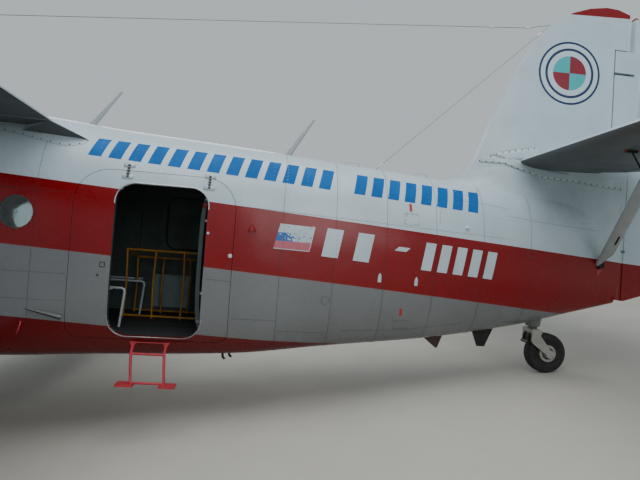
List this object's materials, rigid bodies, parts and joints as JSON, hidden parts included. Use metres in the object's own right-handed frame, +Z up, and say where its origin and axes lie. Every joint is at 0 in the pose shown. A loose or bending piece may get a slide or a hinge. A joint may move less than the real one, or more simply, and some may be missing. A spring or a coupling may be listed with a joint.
{
  "type": "utility biplane",
  "caption": "Single-engined transport biplane with a radial engine, hollow cockpit and cabin, fixed main gear and a castering tail wheel, parked on its wheels.",
  "frame": {"origin": "on the ground, under the middle of the parked length, on the centre plane", "axes": "+X aft (the nose points to -X), +Y to starboard, +Z up; the airframe stands nose up by 7.7 degrees on its wheels"},
  "size_m": [12.7978, 18.176, 4.1829],
  "materials": {
    "white_paint": "gloss, weathered",
    "interior_paint": "satin grey-green",
    "bare_metal": "satin",
    "engine_metal": "oily, heat stained",
    "steel": "satin",
    "blade_paint": "satin",
    "wheel_paint": "satin",
    "tyre": "worn",
    "glazing": "clear",
    "rail_paint": "gloss",
    "ladder_paint": "faded gloss",
    "seat_cloth": "woven"
  },
  "bodies": {
    "airframe": {"nose_section": "white_paint", "cockpit_shell": "white_paint", "cabin_shell": "white_paint", "tail_cone": "white_paint", "cargo_door": "white_paint", "exit_hatch": "white_paint", "cabin_aerial": "white_paint", "canopy_frame": "white_paint", "canopy_glass": "glazing", "cabin_floor": "interior_paint", "front_bulkhead": "interior_paint", "bench_left": "seat_cloth", "bench_right": "seat_cloth", "pilot_seat_left": "seat_cloth", "pilot_seat_right": "seat_cloth", "instrument_panel": "interior_paint", "guard_rail": "rail_paint", "boarding_ladder": "ladder_paint", "engine": "engine_metal", "cowling": "white_paint", "upper_wing_left": "white_paint", "upper_wing_right": "white_paint", "lower_wing_left": "white_paint", "lower_wing_right": "white_paint", "interplane_strut_left": "white_paint", "interplane_strut_right": "white_paint", "bracing_wires_left": "steel", "bracing_wires_right": "steel", "fin": "white_paint", "tailplane_left": "white_paint", "tailplane_right": "white_paint", "tailplane_strut_left": "bare_metal", "tailplane_strut_right": "bare_metal", "main_gear_leg_left": "white_paint", "main_gear_leg_right": "white_paint", "shock_strut_left": "steel", "shock_strut_right": "steel", "tail_gear_stem": "bare_metal"},
    "propeller": {"propeller_hub": "bare_metal", "propeller_blade_1": "blade_paint", "propeller_blade_2": "blade_paint", "propeller_blade_3": "blade_paint", "propeller_blade_4": "blade_paint"},
    "main_wheel_left": {"wheel_rim_left": "wheel_paint", "tyre_left": "tyre"},
    "main_wheel_right": {"wheel_rim_right": "wheel_paint", "tyre_right": "tyre"},
    "tail_fork": {"tail_fork": "bare_metal"},
    "tail_wheel": {"tail_wheel_rim": "wheel_paint", "tail_tyre": "tyre"},
    "passenger_door": {"passenger_door": "interior_paint"},
    "rudder": {"rudder": "white_paint"},
    "elevators": {"elevator_left": "white_paint", "elevator_right": "white_paint"},
    "aileron_left": {"aileron_left": "white_paint"},
    "aileron_right": {"aileron_right": "white_paint"},
    "upper_flap_left": {"upper_flap_left": "white_paint"},
    "upper_flap_right": {"upper_flap_right": "white_paint"},
    "lower_flap_left": {"lower_flap_left": "white_paint"},
    "lower_flap_right": {"lower_flap_right": "white_paint"}
  },
  "joints": [
    {"name": "propeller_spin", "type": "hinge", "parent": "airframe", "child": "propeller", "pos_m": [-6.10162, 0, 2.68282], "axis": [0.991, 0, -0.134], "continuous": true},
    {"name": "main_wheel_left_spin", "type": "hinge", "parent": "airframe", "child": "main_wheel_left", "pos_m": [-3.90798, -1.68, 0.39797], "axis": [0, 1, 0], "continuous": true},
    {"name": "main_wheel_right_spin", "type": "hinge", "parent": "airframe", "child": "main_wheel_right", "pos_m": [-3.90798, 1.68, 0.39797], "axis": [0, 1, 0], "continuous": true},
    {"name": "tail_fork_caster", "type": "hinge", "parent": "airframe", "child": "tail_fork", "pos_m": [4.16679, 0, 0.4872], "axis": [0.134, 0, 0.991], "range_deg": [-90, 90]},
    {"name": "tail_wheel_spin", "type": "hinge", "parent": "tail_fork", "child": "tail_wheel", "pos_m": [4.29252, 0, 0.22297], "axis": [0, 1, 0], "continuous": true},
    {"name": "passenger_door_swing", "type": "hinge", "parent": "airframe", "child": "passenger_door", "pos_m": [0.65689, -0.785, 1.76904], "axis": [0.134, 0, 0.991], "range_deg": [0, 105]},
    {"name": "rudder_turn", "type": "hinge", "parent": "airframe", "child": "rudder", "pos_m": [5.26926, 0, 1.32706], "axis": [0.134, 0, 0.991], "range_deg": [-28, 28]},
    {"name": "elevator_tilt", "type": "hinge", "parent": "airframe", "child": "elevators", "pos_m": [5.2562, 0, 2.29775], "axis": [0, 1, 0], "range_deg": [-42, 22.5]},
    {"name": "aileron_left_tilt", "type": "hinge", "parent": "airframe", "child": "aileron_left", "pos_m": [-1.13293, -5.45, 3.2492], "axis": [-0.0065, 0.9988, -0.0484], "range_deg": [-30, 14]},
    {"name": "aileron_right_tilt", "type": "hinge", "parent": "airframe", "child": "aileron_right", "pos_m": [-1.13293, 5.45, 3.2492], "axis": [0.0065, 0.9988, 0.0484], "range_deg": [-30, 14]},
    {"name": "upper_flap_left_drop", "type": "hinge", "parent": "airframe", "child": "upper_flap_left", "pos_m": [-1.11257, -1.4, 3.04157], "axis": [-0.0065, 0.9988, -0.0484], "range_deg": [0, 40]},
    {"name": "upper_flap_right_drop", "type": "hinge", "parent": "airframe", "child": "upper_flap_right", "pos_m": [-1.11257, 1.4, 3.04157], "axis": [0.0065, 0.9988, 0.0484], "range_deg": [0, 40]},
    {"name": "lower_flap_left_drop", "type": "hinge", "parent": "airframe", "child": "lower_flap_left", "pos_m": [-1.69271, -1.7, 1.10921], "axis": [-0.0084, 0.998, -0.0622], "range_deg": [0, 40]},
    {"name": "lower_flap_right_drop", "type": "hinge", "parent": "airframe", "child": "lower_flap_right", "pos_m": [-1.69271, 1.7, 1.10921], "axis": [0.0084, 0.998, 0.0622], "range_deg": [0, 40]}
  ],
  "couplings": [
    {"joint": "upper_flap_right_drop", "follows": "upper_flap_left_drop", "ratio": 1},
    {"joint": "lower_flap_left_drop", "follows": "upper_flap_left_drop", "ratio": 1},
    {"joint": "lower_flap_right_drop", "follows": "upper_flap_left_drop", "ratio": 1}
  ]
}
